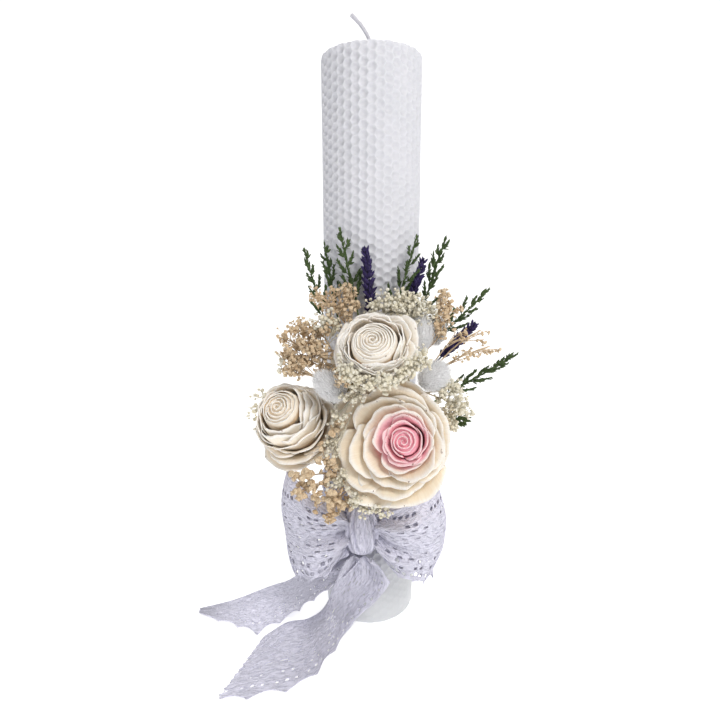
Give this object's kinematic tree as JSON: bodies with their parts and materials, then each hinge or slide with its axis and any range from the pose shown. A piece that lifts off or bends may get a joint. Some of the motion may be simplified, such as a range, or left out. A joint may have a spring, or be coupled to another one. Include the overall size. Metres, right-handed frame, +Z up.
{
  "type": "unity candle",
  "caption": "Rolled honeycomb-wax pillar candle with a dried-flower bouquet on its front and a crochet-lace bow tied below it, tails on the table.",
  "frame": {"origin": "centre of the pillar's flat base, on the table", "axes": "+Z up along the pillar, -Y to the front where the bouquet and the bow are, +X to the viewer's right"},
  "size_m": [0.202, 0.1264, 0.3749],
  "materials": {
    "embossed_wax": "white embossed wax, soft satin sheen",
    "core_wax": "plain white wax, slightly translucent",
    "wick_cotton": "braided cotton, waxed",
    "felt": "pressed felt, matt",
    "floral_foam": "dry floral foam, matt and porous",
    "stem_green": "wrapped flower stem, matt",
    "ivory_petal": "thin dried petals, ivory with beige shade",
    "pink_petal": "thin dried petals, dyed pink",
    "bunny_tail_white": "bleached grass head, fine soft hair",
    "gypsophila_tan": "dried blossoms, tan",
    "gypsophila_cream": "dried blossoms, cream",
    "limonium_green": "dried bracts, dark green",
    "lavender_violet": "dried calyces, deep violet",
    "cotton_lace": "crochet cotton lace, cool white"
  },
  "bodies": {
    "root": {"bow_knot": "cotton_lace", "bow_loop_left": "cotton_lace", "bow_loop_right": "cotton_lace", "bow_tail_front": "cotton_lace", "bow_tail_left": "cotton_lace", "bunny_tail_back": "bunny_tail_white", "bunny_tail_left": "bunny_tail_white", "bunny_tail_right": "bunny_tail_white", "bunny_tail_upper": "bunny_tail_white", "felt_backing": "felt", "foam_dome": "floral_foam", "gypsophila_cream_1": "gypsophila_cream", "gypsophila_cream_2": "gypsophila_cream", "gypsophila_cream_3": "gypsophila_cream", "gypsophila_cream_4": "gypsophila_cream", "gypsophila_cream_5": "gypsophila_cream", "gypsophila_cream_6": "gypsophila_cream", "gypsophila_cream_7": "gypsophila_cream", "gypsophila_cream_8": "gypsophila_cream", "gypsophila_tan_1": "gypsophila_tan", "gypsophila_tan_2": "gypsophila_tan", "gypsophila_tan_3": "gypsophila_tan", "gypsophila_tan_4": "gypsophila_tan", "gypsophila_tan_5": "gypsophila_tan", "gypsophila_tan_6": "gypsophila_tan", "gypsophila_tan_7": "gypsophila_tan", "gypsophila_tan_8": "gypsophila_tan", "inner_wax_roll": "core_wax", "lavender_1": "lavender_violet", "lavender_2": "lavender_violet", "lavender_3": "lavender_violet", "limonium_1": "limonium_green", "limonium_2": "limonium_green", "limonium_3": "limonium_green", "limonium_4": "limonium_green", "limonium_5": "limonium_green", "limonium_6": "limonium_green", "limonium_7": "limonium_green", "limonium_8": "limonium_green", "outer_wax_sheet": "embossed_wax", "ribbon_band": "cotton_lace", "rose_large_bud": "pink_petal", "rose_large_inner_petals": "pink_petal", "rose_large_middle_petals": "ivory_petal", "rose_large_outer_petals": "ivory_petal", "rose_large_stem": "stem_green", "rose_left_bud": "ivory_petal", "rose_left_inner_petals": "ivory_petal", "rose_left_outer_petals": "ivory_petal", "rose_left_stem": "stem_green", "rose_top_bud": "ivory_petal", "rose_top_inner_petals": "ivory_petal", "rose_top_outer_petals": "ivory_petal", "rose_top_stem": "stem_green", "wick": "wick_cotton"}
  },
  "joints": []
}
